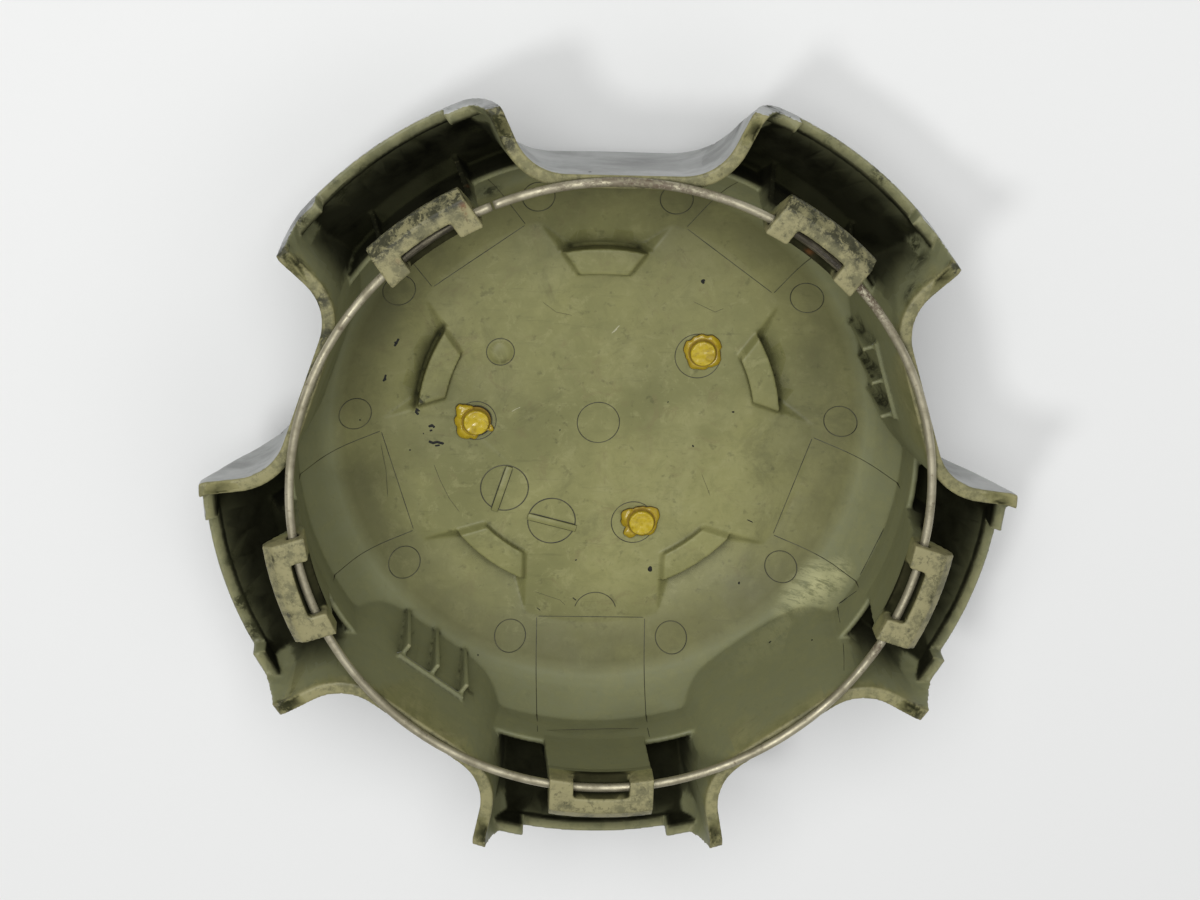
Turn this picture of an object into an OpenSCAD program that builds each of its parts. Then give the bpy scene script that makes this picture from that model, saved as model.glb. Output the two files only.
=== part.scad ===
// Wheel centre cap, five arms, seen here lying on its front face with the open back up.
// Z runs along the wheel's axis, from the emblem's face at zero to the leg heads at the rear.

/* [Shell] */
// Number of arms, one leg in each
arms = 5; // [5:1:5]
// Direction of the first arm, in degrees round the axis
arm_turn = 270; // [0:1:359]
// Distance from the ring's circle out to the pointed ends of the arms
arm_reach = 20.5; // [18.5:0.1:22.5]
// Height of the rear rim above the emblem's face
rim_z = 57.4; // [54:0.2:60]
// Thickness of the side walls
wall = 3.0; // [2.6:0.1:3.4]
// Thickness of the hub and the cone
face = 2.8; // [2.4:0.1:3.2]
// Height of the hub's outer plane above the emblem's face
hub_rise = 3.0; // [2.8:0.1:4]
// Circle where the hub's plane runs out into the cone
hub_d = 106; // [102:1:110]
// Rise of the cone, in degrees
cone_angle = 17.7; // [14:0.1:20]
// Radial width of the cone, from the hub to the crease where it turns up into the bevel
cone_w = 12.5; // [11:0.1:14]
// Steepness of the bevel inside the bowl, in degrees
bevel_angle = 56.5; // [52:0.5:60]
// Steepness of the arms' fronts, in degrees
arm_angle = 51.4; // [48:0.2:54]
// Radius of the rounding between cone and arms, inside and outside
crease_round = 18; // [10:1:24]
// Draft of the scallops' walls, in degrees
draft = 7; // [5:0.5:8]

/* [Scallops] */
// How far the flat of a scallop, at the rim, lies outside the ring's circle
scallop_out = 1.2; // [0.2:0.1:2]
// Length of that flat
scallop_flat = 26; // [22:1:28]
// Radius of a scallop's corners, at the rim
scallop_corner = 12.3; // [10:0.1:13]
// Flare of a scallop's sides, in degrees from its own axis
scallop_flare = 25; // [22:1:28]

/* [Arm ends] */
// Thickness of the wall at an arm's end
end_wall = 3.0; // [2.6:0.1:3.4]
// Thickness of an arm's floor
arm_floor = 2.5; // [2.2:0.1:3]
// Height of the notched edge at an arm's end above the emblem's face
notch_z = 40.5; // [39:0.5:43]
// Height of the feet beside the notch
foot_z = 46.5; // [44:0.5:50]
// Width of the notch
notch_w = 34.8; // [30:0.2:40]
// Opening angle of the rounding at each side of an arm, in degrees from the corner it takes off
round_angle = 15.5; // [8:0.5:18]

/* [Petals] */
// Distance from the hub's circle in to the raised pads, and their radial width
pad_in = 8.5; // [7:0.1:10]
pad_w = 6.3; // [5.5:0.1:7]
// Height of a pad over the hub's plane
pad_h = 1.9; // [1.2:0.1:2.5]
// Slant of a petal's two sides, in degrees from its own axis
petal_slant = 36.5; // [34:0.5:38]
// Distance from the hub's circle in to the point where those two sides would meet
petal_l = 24.5; // [23:0.5:26]

/* [Legs] */
// Width of a leg
leg_w = 24.6; // [22:0.2:26]
// Thickness of a leg
leg_t = 2.6; // [2.2:0.1:3]
// Height of a leg's head above the rim
head_rise = 4.9; // [4.4:0.1:6]
// Width of the window in a leg's head
window_w = 13.4; // [10:0.2:16]
// Radial width of the outer bar, on its near face
bar_w = 3.5; // [3:0.1:4.5]
// How far the catch stands out past the bar, and its chamfer
catch_w = 2.2; // [1.5:0.1:2.6]
// How far the wall that closes the bowl at each arm lies inside the ring's circle
low_wall_in = 0.5; // [0.2:0.1:1]
// Height of that wall's top edge above the hub's inner plane
low_wall_h = 28.2; // [24:0.2:32]
// Thickness of the two gussets behind each leg
gusset_t = 1.2; // [1:0.1:1.6]

/* [Wall ribs] */
// Number of ribs inside each of the two ribbed scallops
ribs = 3; // [1:1:4]
// Distance from one rib to the next
rib_pitch = 8.7; // [7:0.1:10]
// Thickness of a rib
rib_t = 1.1; // [0.8:0.1:1.5]
// Height of the ribs' tops above the hub's inner plane
rib_h = 28.5; // [24:0.5:34]

/* [Ring and emblem] */
// Distance from the crease out to the ring's circle, at the middle of its wire
ring_out = 8; // [7.6:0.1:8.4]
// Diameter of the wire
wire_d = 2.1; // [1.9:0.1:2.2]
// Gap between the wire and what holds it
wire_gap = 0.3; // [0.2:0.05:0.4]
// How far the emblem's edge lies inside the raised pads
emblem_in = 3.2; // [2:0.1:5]
// Thickness of the emblem
emblem_t = 3.4; // [3.2:0.1:3.8]
// Diameter of the emblem's posts
post_d = 6.2; // [5.6:0.1:6.6]
// Length of post that stands above the hub's inner plane
post_rise = 1.6; // [1:0.1:2.5]
// Gap round a post in its hole
post_gap = 0.35; // [0.2:0.05:0.5]

/* [Hidden] */
$fn = 96;

moulding = [0.50, 0.49, 0.33];
steel = [0.68, 0.65, 0.56];
paint = [0.62, 0.63, 0.66];
adhesive = [0.93, 0.74, 0.16];

step = 360 / arms;
scallop_turn = arm_turn + step / 2;
over = 1;

hub_z = hub_rise + face;
head_z = rim_z + head_rise;
notch_half = notch_w / 2;

// The circles grow outwards one from the other: hub, crease, ring, and the arms' pointed ends
hub_r = hub_d / 2;
crease_r = hub_r + cone_w;
ring_r = crease_r + ring_out;
tip_r = ring_r + arm_reach;
scallop_reach = ring_r + scallop_out;

// Profile of the bowl, inside and outside
crease_z = hub_z + (crease_r - hub_r) * tan(cone_angle);
cone_drop = face / cos(cone_angle);
floor_rise = arm_floor / cos(arm_angle);
end_drop = 0.8;

function cone_in(r) = hub_z + (r - hub_r) * tan(cone_angle);
function cone_out(r) = cone_in(r) - cone_drop;
function bevel_in(r) = crease_z + (r - crease_r) * tan(bevel_angle);
function arm_out(r) = notch_z - end_drop - (tip_r - r) * tan(arm_angle);
function arm_in(r) = arm_out(r) + floor_rise;

// Where the outer cone leaves the hub's plane, and where it meets the arms' fronts
face_r = hub_r + (hub_rise - cone_out(hub_r)) / tan(cone_angle);
edge_r = crease_r + (cone_out(crease_r) - arm_out(crease_r)) / (tan(arm_angle) - tan(cone_angle));

// Roundings along the sides of the arms: each is a cone laid into the corner where an arm's front
// meets a scallop's wall. That corner starts at round_root, beside the scallop's own rounded corner
// in the direction root_side, and runs at these angles. The cone meets both walls with round_edge
// between the surfaces.
root_side = 197.9;
root_out = 5.7;
corner_at = (scallop_reach + scallop_corner) * [sin(step / 2), cos(step / 2)]
    - scallop_flat / 2 * [cos(step / 2), -sin(step / 2)];
root_at = corner_at + (scallop_corner + root_out) * [cos(root_side), sin(root_side)];
round_root = [root_at.x, root_at.y, arm_out(norm(root_at)) - 0.2];
corner_turn = 74.6;
corner_rise = 51.3;
corner_roll = 138.8;
corner_half = 49;
round_edge = 11;
arc_half = 90 - corner_half - round_edge;
arc_reach = cos(corner_half) + sin(corner_half) / tan(arc_half);
round_grow = tan(round_angle);
round_lean = atan(round_grow * arc_reach);
round_cast = 1 + pow(round_grow, 2) * cos(corner_half) * arc_reach;
round_half = acos(round_cast * cos(round_angle) * cos(round_lean));
chord_lean = atan(round_grow * arc_reach * pow(cos(corner_half), 2));
round_l = (rim_z + 8 * over - round_root.z) / sin(corner_rise);
crease_steps = 5;

// Petals: the cone runs on inwards past the hub's circle, as far as the pads
pad_out_r = hub_r - pad_in;
pad_in_r = pad_out_r - pad_w;
petal_root = hub_r - petal_l;
pad_z = hub_z + pad_h;
pad_end_run = 1.2;
pocket_lean = 48;
crest_r = pad_out_r - 1.5;
crest_z = 0.3;
groove_in_r = pad_in_r + 1.6;
front_z = cone_out(groove_in_r) - over;

// Legs
head_in = 2.8;
head_in_r = ring_r - head_in;
low_wall_r = ring_r - low_wall_in;
seat_r = ring_r - wire_d / 2 - wire_gap;
bar_in_r = ring_r + wire_d / 2 + wire_gap;
bar_out_r = bar_in_r + bar_w;
seat_z = rim_z;
wire_z = seat_z + wire_d / 2 + 0.05;
roof_z = wire_z + wire_d / 2 + wire_gap;
block_z = rim_z - 1.6;
low_wall_z = hub_z + low_wall_h;
low_wall_t = 1.9;
leg_foot_z = hub_z + 20;
leg_foot_r = low_wall_r + 0.8;
leg_top_r = head_in_r + 0.6;
leg_root_z = arm_in(leg_foot_r) - 1;
gusset_reach = 3.8;
sill_r = leg_foot_r + leg_t + gusset_reach - 0.3;
sill_z = arm_in(sill_r);

// Ribs inside two of the scallops
rib_z = hub_z + rib_h;
rib_d = 6.5;
rib_face = scallop_reach - wall - rib_d;
ledge_z = rib_z + 1.4;
ledge_l = 2 * rib_pitch + 2.2;
ledge_w = 0.9;

// Emblem and its posts: each post's direction and its distance in from the emblem's edge, and the
// glue round each as lobes of [x, y, radius, height] from the post
emblem_r = pad_in_r - emblem_in;
emblem_field = 0.6;
emblem_rim = 3.5;
post_z = hub_z + post_rise;
post_at = [[180, 5], [36.87, 4], [294.38, 6.9]];
posts = [for (p = post_at) (emblem_r - p[1]) * [cos(p[0]), sin(p[0])]];
lobes = [
    [[0, 0, 4.6, 0.9], [-3.1, 0.6, 3.2, 1.3], [-2.2, -2.4, 2.6, 1.1]],
    [[0, 0, 4.7, 1.0], [1.0, 0.6, 4.0, 1.1], [-1.4, -0.4, 3.8, 0.9]],
    [[0, 0, 4.5, 1.0], [-2.8, -0.2, 2.6, 1.2], [-2.4, -2.6, 2.2, 0.9]]];
glue_gap = 0.05;
glue_cap = 0.5;

// Where the ring's two ends meet, and the gap left between them
joint_turn = 113.3;
joint_angle = 0.45;

// One scallop, grown by an amount all round and drafted, cut out along its own Y axis
module scallop(grow) {
    depth = rim_z + 2 * over;
    centre_x = scallop_flat / 2;
    centre_y = scallop_reach + scallop_corner;
    corner = scallop_corner + grow;
    reach = 2 * tip_r;
    union() {
        translate([-centre_x, centre_y - corner, rim_z])
            rotate([-draft, 0, 0]) translate([0, 0, -reach / 2]) cube([2 * centre_x, reach / 2, reach]);
        for (side = [0, 1]) mirror([side, 0, 0]) {
            translate([centre_x, centre_y, rim_z - depth])
                cylinder(h = depth + over, r1 = corner + depth * tan(draft), r2 = corner - over * tan(draft));
            translate([centre_x, centre_y, rim_z]) rotate([0, 0, -scallop_flare])
                translate([corner, 0, 0]) rotate([0, -draft, 0])
                    translate([-2 * scallop_flat, 0, -reach / 2]) cube([2 * scallop_flat, reach / 2, reach]);
        }
    }
}

module scallops(grow) {
    for (i = [0 : arms - 1]) rotate([0, 0, scallop_turn - 90 + i * step]) scallop(grow);
}

// Rounding tool for both sides of every arm, moved into the material by an amount
module arm_rounds(grow) {
    for (i = [0 : arms - 1], side = [0, 1]) rotate([0, 0, arm_turn - 90 + i * step]) mirror([side, 0, 0])
        translate(round_root) rotate([0, 0, corner_turn]) rotate([0, 90 - corner_rise, 0])
            rotate([0, 0, corner_roll]) rotate([0, round_lean, 0]) translate([0, 0, grow / sin(round_half)])
                rotate([0, -round_lean, 0]) round_tool();
}

module round_tool() {
    difference() {
        intersection() {
            rotate([0, round_lean, 0]) cylinder(h = round_l, r1 = 0, r2 = round_l * tan(2 * round_half));
            rotate([0, chord_lean, 0]) translate([-round_l, -round_l / 2, 0])
                cube([round_l, round_l, round_l]);
        }
        rotate([0, round_lean, 0]) translate([0, 0, -over])
            cylinder(h = round_l + 3 * over, r1 = 0, r2 = (round_l + 3 * over) * tan(round_half));
    }
}

// Points that round the corner of a profile where it turns up from one angle to another
function crease(corner, low, high, radius) = let (
    reach = radius * tan((high - low) / 2),
    centre = corner - reach * [cos(low), sin(low)] + radius * [-sin(low), cos(low)])
    [for (k = [0 : crease_steps]) let (a = low + (high - low) * k / crease_steps)
        centre + radius * [sin(a), -cos(a)]];

// Everything inside the cap's outer surface, before the scallops are cut. The cone runs on inwards
// below the hub's plane, where only the petals keep it.
module outer_form() {
    difference() {
        rotate_extrude($fn = 180) polygon(concat(
            [[0, cone_out(groove_in_r)], [groove_in_r, cone_out(groove_in_r)]],
            crease([edge_r, arm_out(edge_r)], cone_angle, arm_angle, crease_round),
            [[tip_r, arm_out(tip_r)], [tip_r, rim_z], [0, rim_z]]));
        difference() {
            translate([0, 0, front_z]) cylinder(h = hub_rise - front_z, r = crease_r);
            each_petal() petal_front();
        }
    }
}

// The open inside: hub, cone, bevel, then the arms' floors and the end walls as high as the feet
module inner_form() {
    top = rim_z + over;
    step_r = low_wall_r + low_wall_t / 2;
    end_r = tip_r - end_wall;
    rotate_extrude($fn = 180) polygon(concat(
        [[0, hub_z], [hub_r, hub_z]],
        crease([crease_r, crease_z], cone_angle, bevel_angle, crease_round),
        [[step_r, bevel_in(step_r)], [step_r, arm_in(step_r)], [end_r, min(arm_in(end_r), foot_z - over)],
        [end_r, foot_z], [tip_r + over, foot_z], [tip_r + over, top], [0, top]]));
}

// Plan of one petal along its own Y axis, grown sideways by an amount
module petal_plan(grow) {
    run = hub_d;
    root = petal_root - grow / sin(petal_slant);
    polygon([[0, root], [run * sin(petal_slant), root + run * cos(petal_slant)],
        [-run * sin(petal_slant), root + run * cos(petal_slant)]]);
}

// A ring of rectangular section
module band(r1, r2, z1, z2) {
    rotate_extrude($fn = 180) polygon([[r1, z1], [r2, z1], [r2, z2], [r1, z2]]);
}

module each_petal() {
    for (i = [0 : arms - 1]) rotate([0, 0, scallop_turn - 90 + i * step]) children();
}

// Pocket behind a petal, where the cone dips below the hub's plane
module petal_pocket() {
    intersection() {
        rotate_extrude($fn = 180) polygon([
            [pad_out_r, cone_in(pad_out_r)], [hub_r + over, cone_in(hub_r + over)],
            [hub_r + over, hub_z + over], [pad_out_r, hub_z + over]]);
        for (side = [0, 1]) mirror([side, 0, 0]) petal_side(pocket_lean);
    }
}

// Front of a petal, where it stands proud of the hub's outer plane
module petal_front() {
    difference() {
        translate([0, 0, crest_z]) linear_extrude(height = rim_z) petal_plan(face * cos(petal_slant));
        translate([0, 0, -3 * over]) cylinder(h = rim_z, r = crest_r);
    }
}

// Half of a petal's plan, its slanted side leaning by an angle about the hub's inner plane
module petal_side(lean) {
    intersection() {
        translate([0, petal_root, hub_z]) rotate([0, 0, -petal_slant]) rotate([0, lean, 0])
            translate([-hub_d, 0, -hub_d / 2]) cube([hub_d, hub_d, hub_d]);
        translate([-over, 0, 0]) cube([hub_d, hub_d, hub_d]);
    }
}

// Raised pad inside a petal, with slanted ends
module pad() {
    intersection() {
        band(pad_in_r, pad_out_r, hub_rise + face / 2, pad_z);
        for (side = [0, 1]) mirror([side, 0, 0]) petal_side(-atan(pad_end_run / pad_h));
    }
}

// Groove on the front between the hub and a petal's crest
module pad_groove() {
    intersection() {
        band(groove_in_r, crest_r, hub_rise - over, pad_z - face);
        linear_extrude(height = rim_z) petal_plan(-face / 2);
    }
}

// Slab across an arm along its own Y axis, between two half widths
module arm_slab(from, to) {
    for (side = [0, 1]) mirror([side, 0, 0]) translate([from, 0, 0]) cube([to - from, tip_r, head_z + over]);
}

// Wall that closes the bowl across an arm, below the leg
module low_wall() {
    rotate([0, 0, 90 - step / 3]) rotate_extrude(angle = 2 * step / 3, $fn = 180) polygon([
        [low_wall_r, arm_in(low_wall_r) - 1], [low_wall_r, leg_foot_z], [low_wall_r + 0.5, low_wall_z],
        [low_wall_r + low_wall_t, low_wall_z], [low_wall_r + low_wall_t + 0.6, arm_in(low_wall_r)]]);
}

// One leg with its head, along its own Y axis
module leg() {
    half = leg_w / 2;
    intersection() {
        rotate_extrude($fn = 180) polygon([
            [leg_foot_r, leg_root_z], [leg_foot_r, leg_foot_z], [leg_top_r, seat_z],
            [leg_top_r + leg_t + 0.4, seat_z], [leg_foot_r + leg_t, leg_foot_z],
            [leg_foot_r + leg_t, leg_root_z]]);
        translate([-half, 0, 0]) cube([leg_w, tip_r, head_z]);
    }
    difference() {
        intersection() {
            rotate_extrude($fn = 180) polygon([
                [head_in_r, block_z], [head_in_r, head_z], [bar_out_r, head_z],
                [bar_out_r + catch_w, head_z - catch_w], [bar_out_r + catch_w, head_z - 2 * catch_w],
                [leg_top_r + leg_t, block_z - 3], [leg_top_r + 0.2, block_z - 3]]);
            translate([-half, 0, 0]) cube([leg_w, tip_r, head_z + over]);
        }
        band(seat_r, bar_in_r, seat_z, roof_z);
        intersection() {
            band(head_in_r - over, bar_in_r, seat_z, head_z + over);
            translate([-window_w / 2, 0, 0]) cube([window_w, tip_r, head_z + 2 * over]);
        }
    }
    intersection() {
        rotate_extrude($fn = 180) polygon([
            [leg_top_r + leg_t - 0.5, block_z - 2], [leg_foot_r + leg_t + gusset_reach, sill_z],
            [leg_foot_r + leg_t - 0.5, leg_root_z], [leg_foot_r + leg_t - 0.5, leg_foot_z]]);
        arm_slab(half - gusset_t, half);
    }
    intersection() {
        rotate_extrude($fn = 180) polygon([[leg_foot_r + leg_t - 0.5, leg_root_z], [sill_r, sill_z],
            [leg_foot_r + leg_t - 0.5, sill_z]]);
        translate([-half, 0, 0]) cube([leg_w, tip_r, head_z]);
    }
}

// Ribs and ledge on the inside of a scallop's wall, along the scallop's own Y axis
module wall_ribs() {
    low_y = scallop_reach - wall / 2 - (rim_z - hub_z) * tan(draft);
    high_y = scallop_reach - wall / 2 - (rim_z - rib_z) * tan(draft);
    first_x = -(ribs - 1) / 2 * rib_pitch - rib_t / 2;
    for (i = [0 : ribs - 1]) translate([first_x + i * rib_pitch, 0, 0]) rotate([90, 0, 90])
        linear_extrude(height = rib_t) polygon([
            [rib_face, cone_in(rib_face) - over], [low_y, cone_in(rib_face) - over],
            [high_y, rib_z], [rib_face, rib_z]]);
    translate([-ledge_l / 2, high_y - wall / 2 - ledge_w, rib_z])
        cube([ledge_l, wall / 2 + ledge_w, ledge_z - rib_z]);
}

module cap_shell() color(moulding) difference() {
    union() {
        difference() {
            outer_form();
            difference() {
                inner_form();
                scallops(wall);
                arm_rounds(wall);
            }
            each_petal() petal_pocket();
            each_petal() pad_groove();
        }
        each_petal() pad();
        for (i = [0 : arms - 1]) rotate([0, 0, arm_turn - 90 + i * step]) {
            low_wall();
            leg();
        }
        for (a = [scallop_turn - step, scallop_turn + step]) rotate([0, 0, a - 90]) wall_ribs();
    }
    scallops(0);
    arm_rounds(0);
    for (i = [0 : arms - 1]) rotate([0, 0, arm_turn - 90 + i * step])
        translate([-notch_half, tip_r - 3 * end_wall, notch_z])
            cube([notch_w, 6 * end_wall, foot_z - notch_z + over]);
    for (p = posts) translate([p.x, p.y, -over]) cylinder(h = hub_z + 2 * over, d = post_d + 2 * post_gap);
    translate([0, 0, hub_rise - over]) cylinder(h = emblem_t - hub_rise + over, r = emblem_r + post_gap);
}

module retaining_ring() color(steel) {
    rotate([0, 0, joint_turn + joint_angle / 2]) rotate_extrude(angle = 360 - joint_angle, $fn = 180)
        translate([ring_r, wire_z]) circle(d = wire_d, $fn = 32);
}

module emblem() color(paint) {
    translate([0, 0, emblem_field]) cylinder(h = emblem_t - emblem_field, r = emblem_r);
    cylinder(h = emblem_t, r = emblem_r - emblem_rim);
    for (p = posts) translate([p.x, p.y, emblem_t / 2]) cylinder(h = post_z - emblem_t / 2, d = post_d);
}

// Glue over one post's end and round its foot
module glue(place, drops) color(adhesive) translate([place.x, place.y, hub_z]) difference() {
    union() {
        cylinder(h = post_rise + glue_cap, d = post_d + 0.6);
        for (l = drops) translate([l[0], l[1], 0]) cylinder(h = l[3], r1 = l[2], r2 = l[2] * 0.7);
    }
    translate([0, 0, -over]) cylinder(h = post_rise + over, d = post_d + 2 * glue_gap);
}

cap_shell();
retaining_ring();
emblem();
glue(posts[0], lobes[0]);  // glue_left
glue(posts[1], lobes[1]);  // glue_right
glue(posts[2], lobes[2]);  // glue_low
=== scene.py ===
import math
import time
import bmesh
import bpy
import numpy as np
from mathutils import Matrix, Vector, noise
from mathutils.bvhtree import BVHTree


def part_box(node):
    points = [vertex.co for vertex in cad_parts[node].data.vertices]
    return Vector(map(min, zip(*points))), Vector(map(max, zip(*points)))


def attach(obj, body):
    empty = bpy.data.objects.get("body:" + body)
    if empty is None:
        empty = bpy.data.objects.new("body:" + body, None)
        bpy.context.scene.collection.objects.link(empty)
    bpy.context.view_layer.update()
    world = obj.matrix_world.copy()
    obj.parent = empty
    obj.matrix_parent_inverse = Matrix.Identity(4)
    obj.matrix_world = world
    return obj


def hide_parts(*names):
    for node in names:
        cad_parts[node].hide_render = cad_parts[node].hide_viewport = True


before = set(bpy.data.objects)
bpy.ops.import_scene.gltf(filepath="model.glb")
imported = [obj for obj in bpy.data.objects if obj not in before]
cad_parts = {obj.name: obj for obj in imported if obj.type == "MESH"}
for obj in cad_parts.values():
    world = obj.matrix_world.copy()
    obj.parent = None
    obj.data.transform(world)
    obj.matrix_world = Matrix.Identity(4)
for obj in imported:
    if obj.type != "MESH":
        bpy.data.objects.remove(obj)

mm = 0.001
startTime = time.time()
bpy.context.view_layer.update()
armAngles = [270, 342, 54, 126, 198]  # directions of the five arms, in degrees


def say(text):
    print("%5.1f s  %s" % (time.time() - startTime, text))


# Camera: where the photo was taken from, in the cap's own frame, lying on its front
camera = {
    "place": (-49.795, 223.799, 673.457),  # mm
    "right": (0.99735, 0.03745, 0.06243),
    "up": (-0.01494, 0.94460, -0.32788),
    "back": (-0.07125, 0.32608, 0.94265),
    "focalPixels": 2874.8,
    "photoWidth": 1200,
    "photoHeight": 900,
    "sensor": 36.0,  # mm
    "nearest": 0.02,  # m, nothing nearer or farther shows
    "farthest": 20.0,
}


def makeCamera():
    data = bpy.data.cameras.new("photoCamera")
    data.sensor_width = camera["sensor"]
    data.lens = camera["sensor"] * camera["focalPixels"] / camera["photoWidth"]
    data.clip_start = camera["nearest"]
    data.clip_end = camera["farthest"]
    eye = bpy.data.objects.new("photoCamera", data)
    bpy.context.scene.collection.objects.link(eye)
    turn = Matrix((camera["right"], camera["up"], camera["back"])).transposed()
    eye.matrix_world = Matrix.Translation(Vector(camera["place"]) * mm) @ turn.to_4x4()
    bpy.context.scene.camera = eye


def pixelRay(u, v):
    # a ray from the camera through one place of the 1200 x 900 photo
    across = (u - camera["photoWidth"] / 2) / camera["focalPixels"]
    down = (v - camera["photoHeight"] / 2) / camera["focalPixels"]
    ray = Vector(camera["right"]) * across - Vector(camera["up"]) * down - Vector(camera["back"])
    return Vector(camera["place"]) * mm, ray.normalized()


# Light: one large soft lamp above, a small one at the left for the gloss, a weak fill and a pale room
studio = {
    "keyPlace": (-0.16, 0.56, 1.27),  # m
    "keySize": 0.90,
    "keyPower": 11.5,  # W
    "sidePlace": (-0.50, -0.02, 1.36),
    "sideSize": 0.22,
    "sidePower": 4.6,
    "fillPlace": (0.55, -0.15, 1.30),
    "fillSize": 1.2,
    "fillPower": 2.5,
    "roomLevel": 0.36,
    "floorColor": (0.74, 0.745, 0.74),
    "floorRoughness": 0.9,
    "floorSize": 6.0,  # m
}


def areaLamp(name, place, size, power):
    data = bpy.data.lights.new(name, "AREA")
    data.shape = "DISK"
    data.size = size
    data.energy = power
    lamp = bpy.data.objects.new(name, data)
    bpy.context.scene.collection.objects.link(lamp)
    lamp.location = place
    lamp.rotation_euler = (-Vector(place)).to_track_quat("-Z", "Y").to_euler()


def makeStudio():
    for kind in ("key", "side", "fill"):
        areaLamp(kind + "Lamp", studio[kind + "Place"], studio[kind + "Size"], studio[kind + "Power"])
    world = bpy.data.worlds.new("room")
    world.use_nodes = True
    back = world.node_tree.nodes["Background"]
    back.inputs["Color"].default_value = (1, 1, 1, 1)
    back.inputs["Strength"].default_value = studio["roomLevel"]
    bpy.context.scene.world = world
    half = studio["floorSize"] / 2
    mesh = bpy.data.meshes.new("floor")
    corners = [(-half, -half, 0), (half, -half, 0), (half, half, 0), (-half, half, 0)]
    mesh.from_pydata(corners, [], [(0, 1, 2, 3)])
    floor = bpy.data.objects.new("floor", mesh)
    bpy.context.scene.collection.objects.link(floor)
    look = Look("floorPaper")
    look.finish(color=look.rgb(studio["floorColor"]), roughness=studio["floorRoughness"])
    mesh.materials.append(look.material)


def isSocket(value):
    return isinstance(value, bpy.types.NodeSocket)


def addNode(tree, kind, feeds, **settings):
    # a node with values and links fed into its inputs; its outputs come back
    node = tree.nodes.new(kind)
    for key, value in settings.items():
        setattr(node, key, value)
    for key, value in feeds.items():
        if isSocket(value):
            tree.links.new(value, node.inputs[key])
        elif value is not None:
            node.inputs[key].default_value = value
    return node.outputs


# A material under construction: each method adds one node and returns its output socket
class Look:
    def __init__(self, name):
        self.material = bpy.data.materials.new(name)
        self.material.use_nodes = True
        self.tree = self.material.node_tree
        self.tree.nodes.clear()
        self.coords = self.node("ShaderNodeTexCoord", {})["Object"]

    def node(self, kind, feeds, **settings):
        return addNode(self.tree, kind, feeds, **settings)

    def rgb(self, color):
        return color if isSocket(color) else (*color[:3], 1.0)

    def maths(self, operation, a, b, clamp=False):
        return self.node("ShaderNodeMath", {0: a, 1: b}, operation=operation, use_clamp=clamp)[0]

    def times(self, a, b, clamp=False):
        return self.maths("MULTIPLY", a, b, clamp)

    def plus(self, a, b, clamp=False):
        return self.maths("ADD", a, b, clamp)

    def noise(self, scale, detail=4.0, rough=0.55, warp=0.0, stretch=None):
        coords = self.coords
        if stretch:
            coords = self.node("ShaderNodeMapping", {"Scale": stretch, "Vector": coords})[0]
        feeds = {"Scale": scale, "Detail": detail, "Roughness": rough, "Distortion": warp, "Vector": coords}
        return self.node("ShaderNodeTexNoise", feeds)["Fac"]

    def ramp(self, value, low, high, bottom=0.0, top=1.0):
        feeds = {"Value": value, "From Min": low, "From Max": high, "To Min": bottom, "To Max": top}
        return self.node("ShaderNodeMapRange", feeds, interpolation_type="SMOOTHSTEP")["Result"]

    def patchy(self, grain, limits):
        # noise through a ramp: (scale, detail, roughness, warp, stretch) and (low, high, bottom, top)
        return self.ramp(self.noise(*grain), *limits)

    def blend(self, share, a, b, mode="MIX"):
        # a mix node's colours are its inputs 6 and 7 and its output 2
        feeds = {"Factor": share, 6: self.rgb(a), 7: self.rgb(b)}
        return self.node("ShaderNodeMix", feeds, data_type="RGBA", blend_type=mode)[2]

    def attribute(self, name):
        return self.node("ShaderNodeAttribute", {}, attribute_name=name)["Fac"]

    def cavity(self, reach, samples=3):
        return self.node("ShaderNodeAmbientOcclusion", {"Distance": reach}, samples=samples)["AO"]

    def bump(self, value, strength, reach):
        return self.node("ShaderNodeBump", {"Strength": strength, "Distance": reach, "Height": value})[0]

    def finish(self, color, roughness, metallic=None, normal=None, **fixed):
        feeds = {"Base Color": color, "Roughness": roughness, "Metallic": metallic, "Normal": normal}
        feeds.update((name.replace("_", " "), value) for name, value in fixed.items())
        shader = self.node("ShaderNodeBsdfPrincipled", feeds)
        self.node("ShaderNodeOutputMaterial", {0: shader[0]})


def meshObject(name, mesh, material):
    piece = bpy.data.objects.new(name, mesh)
    bpy.context.scene.collection.objects.link(piece)
    mesh.materials.clear()
    mesh.materials.append(material)
    return piece


def strip(first, second):
    # the faces between two rings of points, of which the second may be a single point
    count = len(first)
    pairs = [(k, (k + 1) % count) for k in range(count)]
    if len(second) == 1:
        return [(first[k], first[m], second[0]) for k, m in pairs]
    return [(first[k], first[m], second[m], second[k]) for k, m in pairs]


def settled(piece, material):
    # the evaluated result as a plain mesh of one material, with the modifiers gone
    bpy.context.view_layer.update()
    graph = bpy.context.evaluated_depsgraph_get()
    mesh = bpy.data.meshes.new_from_object(piece.evaluated_get(graph))
    mesh.materials.clear()
    mesh.materials.append(material)
    piece.modifiers.clear()
    piece.data = mesh


def rework(mesh, merge=0.0, flatten=0.0, outward=False):
    # merges points nearer than this in mm, joins faces flatter than this in degrees, faces outward
    work = bmesh.new()
    work.from_mesh(mesh)
    if merge:
        bmesh.ops.remove_doubles(work, verts=work.verts, dist=merge * mm)
    if flatten:
        limit = math.radians(flatten)
        bmesh.ops.dissolve_limit(work, angle_limit=limit, verts=work.verts, edges=work.edges)
    if outward:
        bmesh.ops.recalc_face_normals(work, faces=work.faces)
    work.to_mesh(mesh)
    work.free()


def smoothShade(mesh):
    mesh.polygons.foreach_set("use_smooth", [True] * len(mesh.polygons))


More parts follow.
